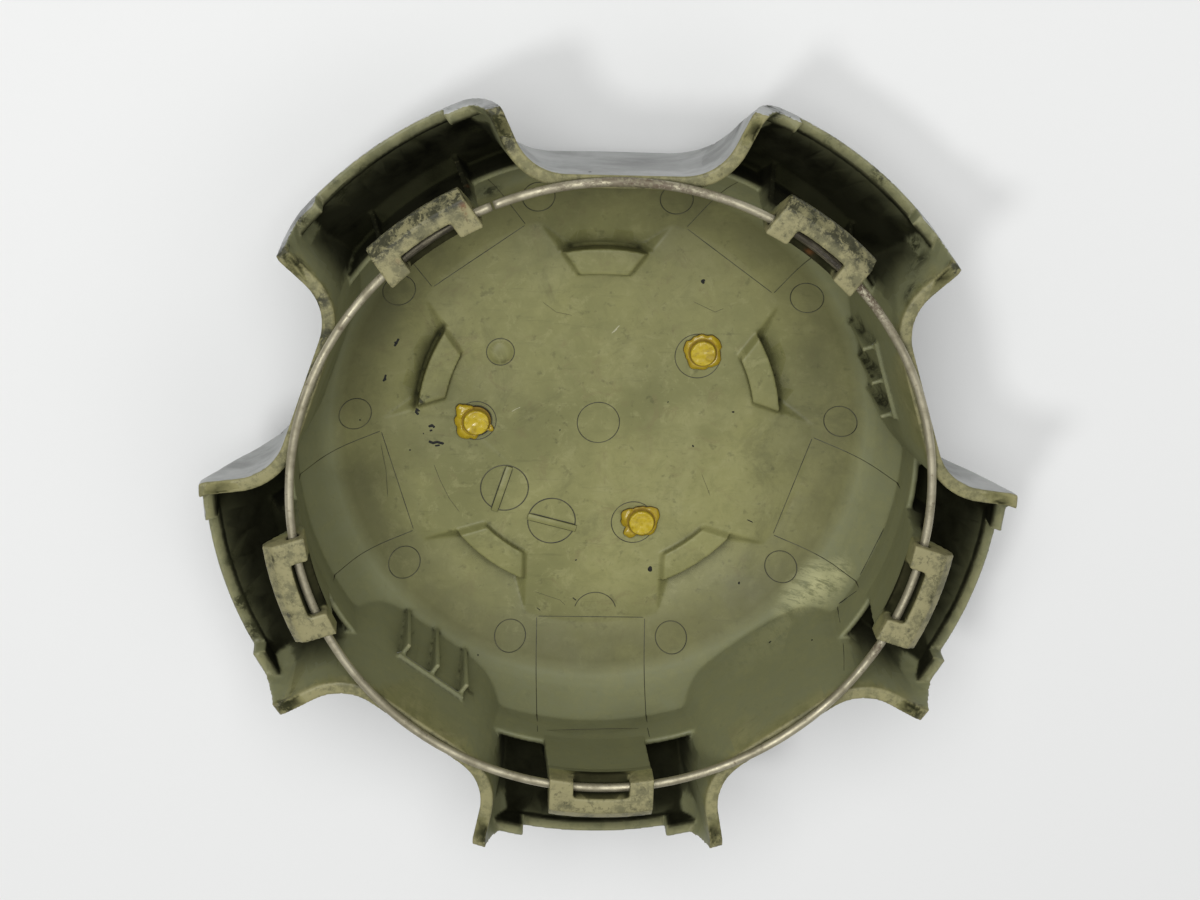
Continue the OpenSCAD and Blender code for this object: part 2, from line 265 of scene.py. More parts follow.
def storeValue(mesh, name, values):
    layer = mesh.attributes.new(name, "FLOAT", "POINT")
    layer.data.foreach_set("value", np.asarray(values, np.float32))


def rise(value, start, run):
    # 0 up to a start, then growing to 1
    return np.clip((value - start) / run, 0, 1)


def fall(value, end, run):
    # 1, then shrinking to 0 at an end
    return np.clip((end - value) / run, 0, 1)


def angleBetween(a, b):
    # in degrees, from 0 to 180
    return abs((a - b + 180) % 360 - 180)


def treeOf(piece):
    return BVHTree.FromObject(piece, bpy.context.evaluated_depsgraph_get())


def castDown(tree, x, y):
    # the point of the shell right below (x, y), both in mm, with its normal; over a hole, the hub's height
    high = shell["headHeight"] + 8.0
    place, normal, _, _ = tree.ray_cast(Vector((x, y, high)) * mm, Vector((0, 0, -1)))
    if place is None or place.z < shell["hubHeight"] * mm * 0.9:
        return Vector((x, y, shell["hubHeight"])) * mm, Vector((0, 0, 1))
    return place, normal


def castPixel(tree, u, v):
    start, ray = pixelRay(u, v)
    place, normal, _, _ = tree.ray_cast(start, ray)
    return place, normal


# Shell: the moulding, taken from the CAD solid, with its edges softened
shell = {
    "voxel": 0.42,  # mm
    "smoothing": 1,  # rounds
    "merge": 0.002,
    "triangles": 192000,
    # colours
    "olive": (0.245, 0.239, 0.094),
    "oliveDark": (0.170, 0.170, 0.066),
    "olivePale": (0.302, 0.294, 0.134),
    "coolOlive": (0.205, 0.214, 0.122),
    "umber": (0.180, 0.154, 0.068),
    # dark grime, also painted shade in the corners and creases
    "grimeAndShade": (0.020, 0.021, 0.009),
    "shadeFilm": (0.098, 0.096, 0.037),
    "rimBeige": (0.260, 0.236, 0.122),
    "rimGrey": (0.120, 0.112, 0.060),
    # brake dust, and painted shade deep in the arms
    "brakeDustAndShade": (0.003, 0.003, 0.001),
    "rust": (0.120, 0.045, 0.014),
    "pink": (0.36, 0.10, 0.14),
    "paintedHighlight": (0.470, 0.460, 0.250),
    "stain": (0.35, 0.36, 0.36),
    "silver": (0.430, 0.440, 0.430),
    "silverDull": (0.300, 0.305, 0.297),
    # sizes, in mm and degrees
    "hubHeight": 5.8,
    "hubRadius": 53.0,
    "coneAngle": 17.7,
    "rimHeight": 57.4,
    "headHeight": 62.3,
    "tipRadius": 94.0,
    "armFrontHeight": 39.7,  # height of an arm's front at the tips' circle
    "armAngle": 51.4,
    "armHalf": 20.0,
    "notchHeight": 40.5,
    "notchHalf": 17.4,
    "footHeight": 46.5,
    "padRadius": 44.5,
    "windowHalf": 7.0,
    # surface
    "gloss": 0.44,  # roughness at its middle
    "bump": 0.35,  # strength, and depth in mm
    "shine": 0.28,  # strength of the plastic's reflections
    "dustAndShadeShine": 0.06,
    "cavityReach": 5.0,
}


# Where the finishes lie on the shell: in mm, or (start, run) of a change
zones = {
    "armsFrom": 69.0,
    "endWall": 2.6,
    "floorSkin": 1.3,
    "crestsTo": 57.0,  # raised parts round the badge, on the front
    "paintFacing": -0.055,  # painted where a surface faces the front more than this
    "dustShadeFrom": (74.0, 1.0),
    "dustShadeCurve": 0.7,
    "endFrom": 87.5,  # the arms' end walls
    "endDepth": (0.35, 1.4),
    "floorDepth": (1.2, 6.0),
    "sideDepth": (7.0, 17.0),
    "sideMost": 0.9,
    "sideFrom": 76.0,
    "sideHalf": 13.5,
    "dustShadeHalf": (30.0, 2.0),
    "windowRadius": (70.5, 75.3),
    "windowDepth": (-0.35, 1.9),
    "barRadius": (74.0, 77.5),  # inner face of a leg head's bar
    "barDepth": -4.4,
    "padStep": (0.75, 1.1),  # middle of the step beyond the pads, and its reach
    "padTurns": {162: 1.0, 90: 0.55, 18: 0.5},  # direction of a pad, and how black its step is
    "padHalf": (16.5, 3.0),  # degrees
    "shadeFrom": (47.0, 11.0),
    "wallFrom": (61.5, 4.0),
    "thinFrom": (62.5, 3.0),
    "headGrime": (76.4, 1.6),
    "headTo": 84.0,
    "headLevels": (0.65, 0.2),  # grime on the two upper heads, and on the others
    "upperTurns": (30, 150),  # degrees
    "alongFrom": 60.0,  # the arms' dust starts here
    "padTop": 7.4,  # heights
    "shadeTo": 55.0,
    "wallTo": 56.0,
}


class Surface:
    # the shell's points in mm, and how each lies to the axis and to the nearest arm
    def __init__(self, mesh):
        flat = np.empty(len(mesh.vertices) * 3, np.float32)
        mesh.vertices.foreach_get("co", flat)
        self.points = flat.reshape(-1, 3) / mm
        flat = np.empty(len(mesh.vertices) * 3, np.float32)
        mesh.vertex_normals.foreach_get("vector", flat)
        self.normals = flat.reshape(-1, 3)
        flat = np.empty(len(mesh.edges) * 2, np.int32)
        mesh.edges.foreach_get("vertices", flat)
        self.pairs = flat.reshape(-1, 2)
        self.count = len(mesh.vertices)
        self.degree = np.bincount(self.pairs.ravel(), minlength=self.count).astype(np.float32)
        x, y, self.height = self.points.T
        nx, ny, self.facingBack = self.normals.T
        self.radius = np.hypot(x, y)
        self.turn = np.degrees(np.arctan2(y, x))
        self.facingOut = (x * nx + y * ny) / np.maximum(self.radius, 1e-3)
        self.along = np.full(self.count, -1.0)  # along the nearest arm, across it, and facing across
        self.across = np.zeros(self.count)
        self.facingAcross = np.zeros(self.count)
        for angle in np.radians(armAngles):
            along = np.cos(angle) * x + np.sin(angle) * y
            nearer = along > self.along
            self.along = np.where(nearer, along, self.along)
            across = np.abs(np.cos(angle) * y - np.sin(angle) * x)
            self.across = np.where(nearer, across, self.across)
            facing = np.abs(np.cos(angle) * ny - np.sin(angle) * nx)
            self.facingAcross = np.where(nearer, facing, self.facingAcross)

    def around(self, values):
        # the sum of a value over each point's neighbours
        total = np.bincount(self.pairs[:, 0], values[self.pairs[:, 1]], self.count)
        return total + np.bincount(self.pairs[:, 1], values[self.pairs[:, 0]], self.count)

    def spread(self, values, rounds):
        # averages a value over its neighbours a few times
        values = values.astype(np.float32)
        for _ in range(rounds):
            mean = self.around(values) / np.maximum(self.degree, 1)
            values = (0.5 * values + 0.5 * mean).astype(np.float32)
        return values


def edgeShare(surface):
    # how much each point stands proud of its neighbours, plus on edges and minus in corners
    degree = np.maximum(surface.degree, 1)
    mean = np.stack([surface.around(row) / degree for row in surface.points.T], 1)
    proud = ((surface.points - mean) * surface.normals).sum(1)
    first, second = surface.points[surface.pairs[:, 0]], surface.points[surface.pairs[:, 1]]
    length = np.linalg.norm(first - second, axis=1)
    reach = np.bincount(surface.pairs[:, 0], length, surface.count)
    reach += np.bincount(surface.pairs[:, 1], length, surface.count)
    return surface.spread(proud / np.maximum(reach / degree, 1e-6), 3)


def outsideShare(surface):
    # 1 where the surface belongs to the cap's painted front, 0 on the bare moulding
    radius, height = surface.radius, surface.height
    steep = math.tan(math.radians(shell["armAngle"]))
    armFront = shell["armFrontHeight"] - (shell["tipRadius"] - radius) * steep
    inArm = (radius > zones["armsFrom"]) & (radius < shell["tipRadius"] - zones["endWall"])
    inArm &= (surface.across < shell["armHalf"]) & (height > armFront + zones["floorSkin"])
    end = (radius > shell["tipRadius"] - 0.35) & (surface.facingOut > 0.7)
    # the steep sides of the grooves and crests round the badge are painted as well
    cone = shell["hubHeight"] + (radius - shell["hubRadius"]) * math.tan(math.radians(shell["coneAngle"]))
    under = np.where(radius < shell["padRadius"] - 0.8, shell["hubHeight"] - 0.45, cone - 1.0)
    low = (radius < zones["crestsTo"]) & (height < under)
    return surface.spread(((surface.facingBack < zones["paintFacing"]) & ~inArm) | end | low, 2)


def dustAndShadeShare(surface):
    # how thick the brake dust and painted shade lie: full down in the arms behind the ring, none on the hub
    radius, across = surface.radius, surface.across
    endTop = np.where(across < shell["notchHalf"], shell["notchHeight"], shell["footHeight"])
    atEnd = radius > zones["endFrom"]
    depth = np.where(atEnd, endTop, shell["rimHeight"]) - surface.height
    start, run = (np.where(atEnd, a, b) for a, b in zip(zones["endDepth"], zones["floorDepth"]))
    dustShade = rise(radius, *zones["dustShadeFrom"]) * rise(depth, start, run) ** zones["dustShadeCurve"]
    edge = atEnd & (depth < 1.0) & (surface.height > shell["armFrontHeight"] - 1.0)
    dustShade = np.maximum(dustShade, edge * fall(radius, shell["tipRadius"] - 1.6, 1.0))
    side = np.minimum(rise(depth, *zones["sideDepth"]), zones["sideMost"]) * (radius > zones["sideFrom"])
    dustShade = np.where((surface.facingAcross > 0.6) & (across > zones["sideHalf"]), side, dustShade)
    dustShade *= fall(across, *zones["dustShadeHalf"]) * (surface.along > zones["alongFrom"])
    # painted shadow: black in the windows of the leg heads, under the wire
    window = (radius > zones["windowRadius"][0]) & (radius < zones["windowRadius"][1])
    window &= (depth > zones["windowDepth"][0]) & (depth < zones["windowDepth"][1])
    bar = (radius > zones["barRadius"][0]) & (radius < zones["barRadius"][1])
    bar &= (depth > zones["barDepth"]) & (surface.facingOut < -0.4)
    dustShade = np.where((window | bar) & (across < shell["windowHalf"]), 1.0, dustShade)
    # painted shadow: black in the step round the pads, most of all at the left one
    middle, reach = zones["padStep"]
    step = fall(np.abs(radius - shell["padRadius"] - middle), reach, reach)
    step *= surface.height < zones["padTop"]
    for turn, level in zones["padTurns"].items():
        dustShade = np.maximum(dustShade, step * level * fall(angleBetween(surface.turn, turn), *zones["padHalf"]))
    return surface.spread(dustShade, 1)


def rimShare(surface):
    # 1 on the leg heads, less on the rear edges and the tops of the arms' end walls
    share = rise(surface.height, shell["rimHeight"] - 1.0, 0.7)
    share *= np.where(surface.height > shell["headHeight"] - 2.5, 1.0, 0.8)
    end = (surface.radius > shell["tipRadius"] - 3.2) & (surface.facingBack > 0.5)
    return surface.spread(np.maximum(share, 0.4 * end), 1)


def shadeShare(surface):
    # painted shade with a film of dirt, growing over the cone and thinning out on the walls
    thin = 1 - 0.85 * rise(surface.radius, *zones["thinFrom"])
    return rise(surface.radius, *zones["shadeFrom"]) * thin * (surface.height < zones["shadeTo"])


def wallShare(surface):
    # the walls round the bowl, which are greyer than the hub
    return rise(surface.radius, *zones["wallFrom"]) * (surface.height < zones["wallTo"])


def headShare(surface):
    # the grime on the outer part of the leg heads, thickest on the two upper ones
    first, last = zones["upperTurns"]
    level = np.where((surface.turn > first) & (surface.turn < last), *zones["headLevels"])
    head = (surface.radius < zones["headTo"]) & (surface.height > shell["rimHeight"] + 0.6)
    return level * rise(surface.radius, *zones["headGrime"]) * head


# Patches on the shell, each through a place of the photo: (u, v, radius in mm, strength)
patches = {
    # dark worn and dirty patches; those in the pockets between the ribs are painted shadow
    "wear": [
        (494, 118, 5, 1), (506, 142, 4, 0.8), (283, 247, 4, 0.9), (300, 220, 3.5, 0.6), (772, 108, 4, 0.9),
        (958, 268, 4, 0.7), (376, 250, 2.2, 1), (388, 240, 2.6, 1), (410, 224, 2.6, 1), (432, 209, 2.6, 1),
        (450, 197, 2.6, 0.9), (383, 262, 1.6, 0.7), (808, 212, 2.2, 0.8), (830, 226, 2.4, 1),
        (848, 240, 2.6, 1), (862, 256, 2.4, 1), (868, 270, 2, 0.8), (272, 560, 2.2, 0.6),
        (278, 585, 2.2, 0.7), (288, 615, 2.2, 0.6), (940, 570, 2, 0.6), (930, 600, 2, 0.6),
        (565, 803, 2.2, 0.5), (640, 805, 2.2, 0.5), (332, 600, 1.6, 0.4), (635, 168, 5, 0.6),
        (285, 706, 4, 0.7), (915, 712, 4, 0.7), (484, 838, 4, 0.6), (714, 838, 4, 0.6), (375, 690, 3, 0.3),
        (327, 340, 4, 0.7), (312, 372, 4, 0.7), (452, 150, 3.5, 0.5), (862, 352, 2.6, 0.9),
        (872, 378, 2.6, 0.9), (881, 402, 2.4, 0.9), (416, 648, 2.2, 0.6), (447, 672, 2.2, 0.6),
        (850, 322, 2.5, 0.6), (420, 402, 1.6, 0.9), (745, 175, 4, 0.7), (757, 150, 3, 0.6),
        (490, 190, 4, 0.6), (867, 360, 4, 1), (873, 368, 3.5, 1), (880, 398, 4.2, 1), (887, 405, 3.2, 1),
        (862, 326, 4, 0.8), (412, 640, 2.5, 0.8), (443, 664, 2.5, 0.8), (468, 690, 2.5, 0.7),
        (740, 125, 3, 0.7), (905, 225, 3.5, 0.8), (915, 245, 3.5, 0.8), (300, 262, 5, 0.6),
        (318, 300, 5, 0.6), (918, 262, 5, 0.6), (912, 290, 5, 0.6), (915, 330, 4, 0.5), (335, 215, 3, 0.8),
        (340, 190, 3.5, 0.9), (365, 172, 3.5, 0.8), (245, 600, 3.5, 0.9), (252, 630, 3.5, 0.8),
        (232, 560, 3, 0.6), (415, 140, 4, 0.5), (835, 140, 4, 0.5), (880, 175, 4, 0.6),
        (350, 200, 2.5, 0.8), (475, 130, 3, 0.8), (520, 100, 4, 0.6),
    ],
    # grey stains; those on the hub's left and on the painted outside at the top are painted shade
    "stain": [
        (452, 385, 20, 0.5), (405, 300, 16, 0.5), (900, 440, 14, 0.4), (690, 205, 12, 0.35),
        (660, 250, 14, 0.45), (690, 280, 10, 0.35), (545, 235, 14, 0.35), (800, 420, 16, 0.45),
        (820, 360, 12, 0.45), (620, 158, 22, 0.75), (570, 165, 12, 0.5), (680, 160, 12, 0.5),
        (600, 500, 10, 0.2), (640, 720, 8, 0.3), (395, 470, 12, 0.3),
    ],
    # painted highlight: a pale streaky gloss on the lower right of the cone
    "paintedHighlight": [
        (800, 598, 5.5, 0.8), (818, 584, 6.5, 1), (838, 574, 4.5, 0.9), (785, 612, 3.5, 0.4),
    ],
    "rust": [
        (457, 220, 1.4, 1), (463, 207, 1.6, 0.7), (812, 247, 2.2, 0.9), (826, 256, 1.6, 0.7),
        (470, 188, 1.8, 0.5), (396, 262, 1.5, 0.5),
    ],
    "pink": [(322, 385, 3.2, 0.9), (317, 398, 2.6, 0.7), (328, 372, 2.2, 0.6)],
}


def patchShare(surface, tree, spots):
    # the share of a finish at each point of the shell, highest at the middle of each patch
    share = np.zeros(surface.count, np.float32)
    for u, v, radius, strength in spots:
        place, _ = castPixel(tree, u, v)
        if place is None:
            print("no shell at", u, v)
            continue
        away = np.linalg.norm(surface.points - np.array(place) / mm, axis=1)
        share = np.maximum(share, strength * fall(away / radius, 1.15, 1.0))
    return share


def moulding(name, shine):
    look = Look(name)
    read = look.attribute
    fine = look.noise(420, 3, 0.6)
    cloud = look.noise(70, 5, 0.65, 0.4)
    mottle = look.noise(210, 5, 0.78, 0.5)
    dustShade = look.times(read("dustAndShadeShare"), look.patchy((60, 5, 0.65), (0.30, 0.62, 1.0, 0.93)))
    base = look.blend(look.patchy((22, 5, 0.6), (0.34, 0.66)), shell["oliveDark"], shell["olive"])
    layers = [
        (look.ramp(cloud, 0.45, 0.72, 0.0, 0.40), "olivePale"),
        (look.ramp(mottle, 0.36, 0.50, 0.38, 0.0), "oliveDark"),
        (look.ramp(mottle, 0.52, 0.66, 0.0, 0.40), "olivePale"),
        (look.patchy((120, 5, 0.75, 0.9), (0.55, 0.68, 0.0, 0.40)), "umber"),
        # smudges, marks rubbed in one direction, and specks
        (look.patchy((38, 6, 0.72, 1.2), (0.54, 0.66, 0.0, 0.20)), "grimeAndShade"),
        (look.patchy((90, 5, 0.7, 0.0, (1.0, 9.0, 3.0)), (0.58, 0.70, 0.0, 0.14)), "grimeAndShade"),
        (look.ramp(fine, 0.60, 0.74, 0.0, 0.30), "grimeAndShade"),
        # a greyer wall, painted shade with a film of dirt towards it, and brake dust with painted shade
        # down in the arms
        (look.times(read("wallShare"), look.ramp(mottle, 0.35, 0.65, 0.88, 0.62)), "coolOlive"),
        (look.times(read("shadeShare"), look.ramp(cloud, 0.32, 0.62, 0.50, 0.78)), "shadeFilm"),
        (dustShade, "brakeDustAndShade"),
    ]
    for share, color in layers:
        base = look.blend(share, base, shell[color])
    # rear edges and leg heads: pale wear with dark grime between
    rear = look.times(read("rimShare"), look.maths("SUBTRACT", 1.0, dustShade))
    worn = look.blend(look.patchy((230, 5, 0.75), (0.38, 0.56)), shell["rimGrey"], shell["rimBeige"])
    base = look.blend(look.times(rear, 0.85), base, worn)
    grit = look.times(look.patchy((420, 4, 0.80), (0.55, 0.64)), rear)
    base = look.blend(look.times(grit, 0.45), base, shell["grimeAndShade"])
    # grey stains and painted shade, then a streaky painted highlight, grime worn in with painted shadow
    # between the ribs, rust and a pink rub
    torn = look.patchy((420, 4, 0.80, 0.4), (0.42, 0.58))
    wear = look.times(look.ramp(read("wear"), 0.05, 0.75), look.plus(torn, 0.25), True)
    # grey stains, some of them painted shade
    stain = look.times(read("stain"), look.ramp(cloud, 0.35, 0.65, 0.6, 1.0), True)
    base = look.blend(stain, base, shell["stain"], "MULTIPLY")
    streak = look.patchy((160, 5, 0.82, 0.3, (1.0, 4.0, 1.0)), (0.38, 0.56))
    # dirt and painted shade in the corners, darker the more shut in a point is
    cornerDirtAndShade = look.ramp(look.cavity(shell["cavityReach"] * mm), 0.35, 0.80, 1.0, 0.0)
    cornerDirtAndShade = look.times(cornerDirtAndShade, look.patchy((90, 4, 0.6), (0.25, 0.60, 0.35, 0.9)))
    edge = look.ramp(read("edgeShare"), 0.10, 0.28)
    layers = [
        (look.times(read("paintedHighlight"), streak, True), "paintedHighlight"),
        (look.times(wear, 0.9), "grimeAndShade"),
        (look.times(look.ramp(read("rust"), 0.1, 0.7), look.ramp(torn, 0.1, 0.9, 0.3, 0.9)), "rust"),
        (look.times(look.ramp(read("pink"), 0.1, 0.8), look.ramp(torn, 0.0, 1.0, 0.25, 0.75)), "pink"),
        # dirt and painted shade right in the creases and round them, and pale rubbed edges that are partly
        # a painted highlight
        (look.ramp(read("edgeShare"), -0.16, -0.035, 0.92, 0.0), "grimeAndShade"),
        (cornerDirtAndShade, "grimeAndShade"),
        (look.times(edge, look.patchy((260, 4, 0.7), (0.38, 0.60, 0.10, 0.60))), "rimBeige"),
    ]
    for share, color in layers:
        base = look.blend(share, base, shell[color])
    # paint on the front, chipped and dirty towards its edges
    flake = look.blend(look.patchy((60, 5, 0.65), (0.40, 0.66)), shell["silver"], shell["silverDull"])
    chips = look.patchy((200, 4, 0.75, 1.0), (0.56, 0.64))
    chips = look.times(chips, look.ramp(read("edgeShare"), 0.0, 0.16))
    flake = look.blend(look.maths("MAXIMUM", chips, look.times(wear, 0.8)), flake, shell["grimeAndShade"])
    # the same stains and painted shade on the paint
    flake = look.blend(stain, flake, shell["stain"], "MULTIPLY")
    color = look.blend(look.ramp(read("outsideShare"), 0.35, 0.65), base, flake)
    roughness = look.patchy((45, 4, 0.6), (0.3, 0.7, shell["gloss"] - 0.06, shell["gloss"] + 0.14))
    for share, level in ((cornerDirtAndShade, 0.25), (read("shadeShare"), 0.10), (read("paintedHighlight"), -0.16)):
        roughness = look.plus(roughness, look.times(share, level))
    roughness = look.plus(roughness, look.times(dustShade, 0.55), True)
    wave = look.plus(look.noise(55, 3, 0.5), look.times(fine, 0.22))
    wave = look.plus(wave, look.times(wear, -0.5))
    relief = look.bump(wave, shell["bump"], shell["bump"] * mm)
    look.finish(color, roughness, normal=relief, Specular_IOR_Level=shine)
    return look.material


def splitDustAndShade(piece, dustShade):
    # faces in the brake dust and painted shade get the same look without its reflections
    piece.data.materials.append(moulding("dustAndShadeOlive", shell["dustAndShadeShine"]))
    corners = np.empty(len(piece.data.loops), np.int32)
    piece.data.loops.foreach_get("vertex_index", corners)
    starts = np.empty(len(piece.data.polygons), np.int32)
    piece.data.polygons.foreach_get("loop_start", starts)
    highest = np.maximum.reduceat(dustShade[corners], starts)
    piece.data.polygons.foreach_set("material_index", (highest > 0.3).astype(np.int32))


def makeShell():
    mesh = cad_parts["cap_shell"].data.copy()
    rework(mesh, merge=shell["merge"])
    plastic = moulding("mouldedOlive", shell["shine"])
    piece = meshObject("capShell", mesh, plastic)
    remesh = piece.modifiers.new("soften", "REMESH")
    remesh.mode = "VOXEL"
    remesh.voxel_size = shell["voxel"] * mm
    remesh.use_smooth_shade = True
    smooth = piece.modifiers.new("round", "SMOOTH")
    smooth.factor = 0.5
    smooth.iterations = shell["smoothing"]
    settled(piece, plastic)
    full = len(piece.data.polygons) * 2
    say("shell remeshed, %d triangles" % full)
    thin = piece.modifiers.new("thin", "DECIMATE")
    thin.ratio = min(1.0, shell["triangles"] / full)
    settled(piece, plastic)
    smoothShade(piece.data)
    for layer in [a for a in piece.data.attributes if a.name.startswith("custom")]:
        piece.data.attributes.remove(layer)
    surface = Surface(piece.data)
    dustShade = dustAndShadeShare(surface)
    storeValue(piece.data, "dustAndShadeShare", dustShade)
    for share in (edgeShare, outsideShare, shadeShare, wallShare, rimShare):
        storeValue(piece.data, share.__name__, share(surface))
    tree = treeOf(piece)
    for name, spots in patches.items():
        share = patchShare(surface, tree, spots)
        storeValue(piece.data, name, np.maximum(share, headShare(surface)) if name == "wear" else share)
    splitDustAndShade(piece, dustShade)
    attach(piece, "root")
    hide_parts("cap_shell")
    say("shell done, %d triangles" % sum(len(p.vertices) - 2 for p in piece.data.polygons))
    return piece, tree


sink = 0.06  # mm, how deep the feet of marks lie in the surface
endTaper = 0.15  # thickness of a bead's ends, as a share
beadSection = ((-1.0, 0.0), (-0.5, 0.8), (0.0, 1.0), (0.5, 0.8), (1.0, 0.0))  # across and up


# A low bead along a line on a surface: width and height in mm
def bead(work, line, width, height, closed=False):
    rows = []
    count = len(line)
    for i, (place, normal) in enumerate(line):
        before = line[(i - 1) % count][0] if closed or i else place
        after = line[(i + 1) % count][0] if closed or i < count - 1 else place
        side = (after - before).cross(normal).normalized()
        taper = 1.0 if closed or 0 < i < count - 1 else endTaper
        low = place - normal * sink * mm
        row = []
        for across, up in beadSection:
            spot = low + side * across * width / 2 * mm * taper
            lift = up * height + sink * min(1.0, up * 9)
            row.append(work.verts.new(spot + normal * lift * mm * taper))
        rows.append(row)
    for i in range(count if closed else count - 1):
        for face in strip(rows[i], rows[(i + 1) % count]):
            work.faces.new(face)
    if not closed:
        work.faces.new(rows[0][::-1])
        work.faces.new(rows[-1])


def beadPiece(name, work, material):
    bmesh.ops.recalc_face_normals(work, faces=work.faces)
    mesh = bpy.data.meshes.new(name)
    work.to_mesh(mesh)
    work.free()
    smoothShade(mesh)
    piece = meshObject(name, mesh, material)
    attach(piece, "root")
    return piece


# Marks of the mould on the hub and the cone, all in mm
marks = {
    # rings as (x, y, radius), bars from one point to another, the arc with its first and last angle
    "centre": (0.0, 0.0, 5.2),
    "postRings": [
        (-24.5, 17.7, 3.4), (-30.0, 0.0, 3.9), (-30.0, 0.0, 4.9), (23.7, 17.5, 5.6), (9.6, -26.0, 5.4),
    ],
    "inserts": [(-22.6, -17.4, 5.9), (-10.7, -25.9, 5.9)],
    "bars": [((-21.5, -11.8), (-25.0, -23.4)), ((-16.6, -24.75), (-4.6, -27.8))],
    "barWidth": 1.6,
    "barGap": 0.12,  # between a bar and the lines beside it
    "barSection": [(-0.2, 0.0), (0.42, 0.0), (0.50, 0.10)],  # height over the hub, and inset
    "arc": (1.0, -50.2, 5.3, 12.0, 168.0),
    "bump": (-24.5, 17.7, 3.2, 1.0),  # x, y, radius, height
    "bumpFoot": 1.12,  # foot's radius as a share of the bump's
    "bumpRings": 8,
    "bumpAround": 48,
    "lineWidth": 0.32,
    "lineHeight": 0.05,
    "lineDark": (0.016, 0.016, 0.007),
    "linePale": (0.062, 0.060, 0.027),
    "lineRoughness": 0.55,
    "witnessHalf": 13.6,  # lines across and along each arm
    "witnessInner": 51.5,
    "witnessOuter": 72.0,
}


def markLook():
    look = Look("mouldLine")
    share = look.patchy((240, 4, 0.7), (0.35, 0.65))
    look.finish(look.blend(share, marks["lineDark"], marks["linePale"]), marks["lineRoughness"])
    return look.material


def arcLine(tree, x, y, radius, first, last, steps):
    line = []
    for i in range(steps + 1):
        angle = math.radians(first + (last - first) * i / steps)
        line.append(castDown(tree, x + radius * math.cos(angle), y + radius * math.sin(angle)))
    return line


def circleLine(tree, x, y, radius, count=72):
    return arcLine(tree, x, y, radius, 0, 360, count)[:-1]


def straightLine(tree, start, end, count):
    start, end = Vector(start), Vector(end)
    return [castDown(tree, *start.lerp(end, i / (count - 1))) for i in range(count)]


def turned(x, y, angle):
    c = math.cos(math.radians(angle))
    s = math.sin(math.radians(angle))
    return (c * x - s * y, s * x + c * y)


def barFrame(start, end):
    # both ends of a bar, and the direction to its side
    a, b = Vector((*start, 0)), Vector((*end, 0))
    return a, b, (b - a).cross(Vector((0, 0, 1))).normalized()


def makeMarks(tree, material):
    work = bmesh.new()
    width = marks["lineWidth"]
    height = marks["lineHeight"]
    bead(work, circleLine(tree, *marks["centre"]), width, height, True)
    for ring in marks["postRings"]:
        bead(work, circleLine(tree, *ring), width, height, True)
    for ring in marks["inserts"]:
        bead(work, circleLine(tree, *ring), width * 1.4, height, True)
    for start, end in marks["bars"]:
        a, b, side = barFrame(start, end)
        side *= marks["barWidth"] / 2 + marks["barGap"]
        for shift in (side, -side):
            bead(work, straightLine(tree, (a + shift).xy, (b + shift).xy, 12), width * 1.2, height)
    bead(work, arcLine(tree, *marks["arc"], 24), width, height)
    half = marks["witnessHalf"]
    inner = marks["witnessInner"]
    outer = marks["witnessOuter"]
    for angle in armAngles:
        corners = [(outer, -half), (inner, -half), (inner, half), (outer, half)]
        corners = [turned(x, y, angle) for x, y in corners]
        for a, b in zip(corners, corners[1:]):
            bead(work, straightLine(tree, a, b, 40), width * 0.9, height * 0.8)
    beadPiece("mouldLines", work, material)


def makeInserts(tree, material):
    # two turned inserts of the mould: a raised bar across each disc
    work = bmesh.new()
    half = marks["barWidth"] / 2
    for start, end in marks["bars"]:
        a, b, side = barFrame(start, end)
        side *= half
        floor = castDown(tree, *start)[0].z / mm
        rows = []
        for up, inset in marks["barSection"]:
            shift = (b - a).normalized() * inset
            inner = side * (1 - inset / half)
            spots = [a + inner + shift, b + inner - shift, b - inner - shift, a - inner + shift]
            rows.append([work.verts.new((q.x * mm, q.y * mm, (floor + up) * mm)) for q in spots])
        for low, high in zip(rows, rows[1:]):
            for face in strip(low, high):
                work.faces.new(face)
        work.faces.new(rows[-1])
        work.faces.new(rows[0][::-1])
    beadPiece("insertBars", work, material)


def makeBump(tree, material):
    # the low round bump on the hub
    x, y, radius, high = marks["bump"]
    steps, around = marks["bumpRings"], marks["bumpAround"]
    work = bmesh.new()
    floor = castDown(tree, x + radius * 1.3, y)[0].z / mm
    rings = []
    for j in range(steps + 1):
        r = radius * marks["bumpFoot"] * (1 - j / steps)
        z = floor + high * (1 - min(1.0, r / radius) ** 3) - 0.02
        angles = [2 * math.pi * i / around for i in range(around if j < steps else 1)]
        places = [Vector((x + r * math.cos(a), y + r * math.sin(a), z)) * mm for a in angles]
        rings.append([work.verts.new(place) for place in places])
    for outer, inner in zip(rings, rings[1:]):
        for face in strip(outer, inner):
            work.faces.new(face)
    work.faces.new(rings[0][::-1])
    beadPiece("hubBump", work, material)


# Round marks of the ejector pins on the cone, two beside each arm
ejectors = {
    "radius": 59.5,  # mm
    "turn": 19.9,  # degrees either side of an arm
    "size": 3.9,
    "height": 40.0,  # they start here, and drop onto the shell
    "thickness": 0.11,
    "around": 64,
}


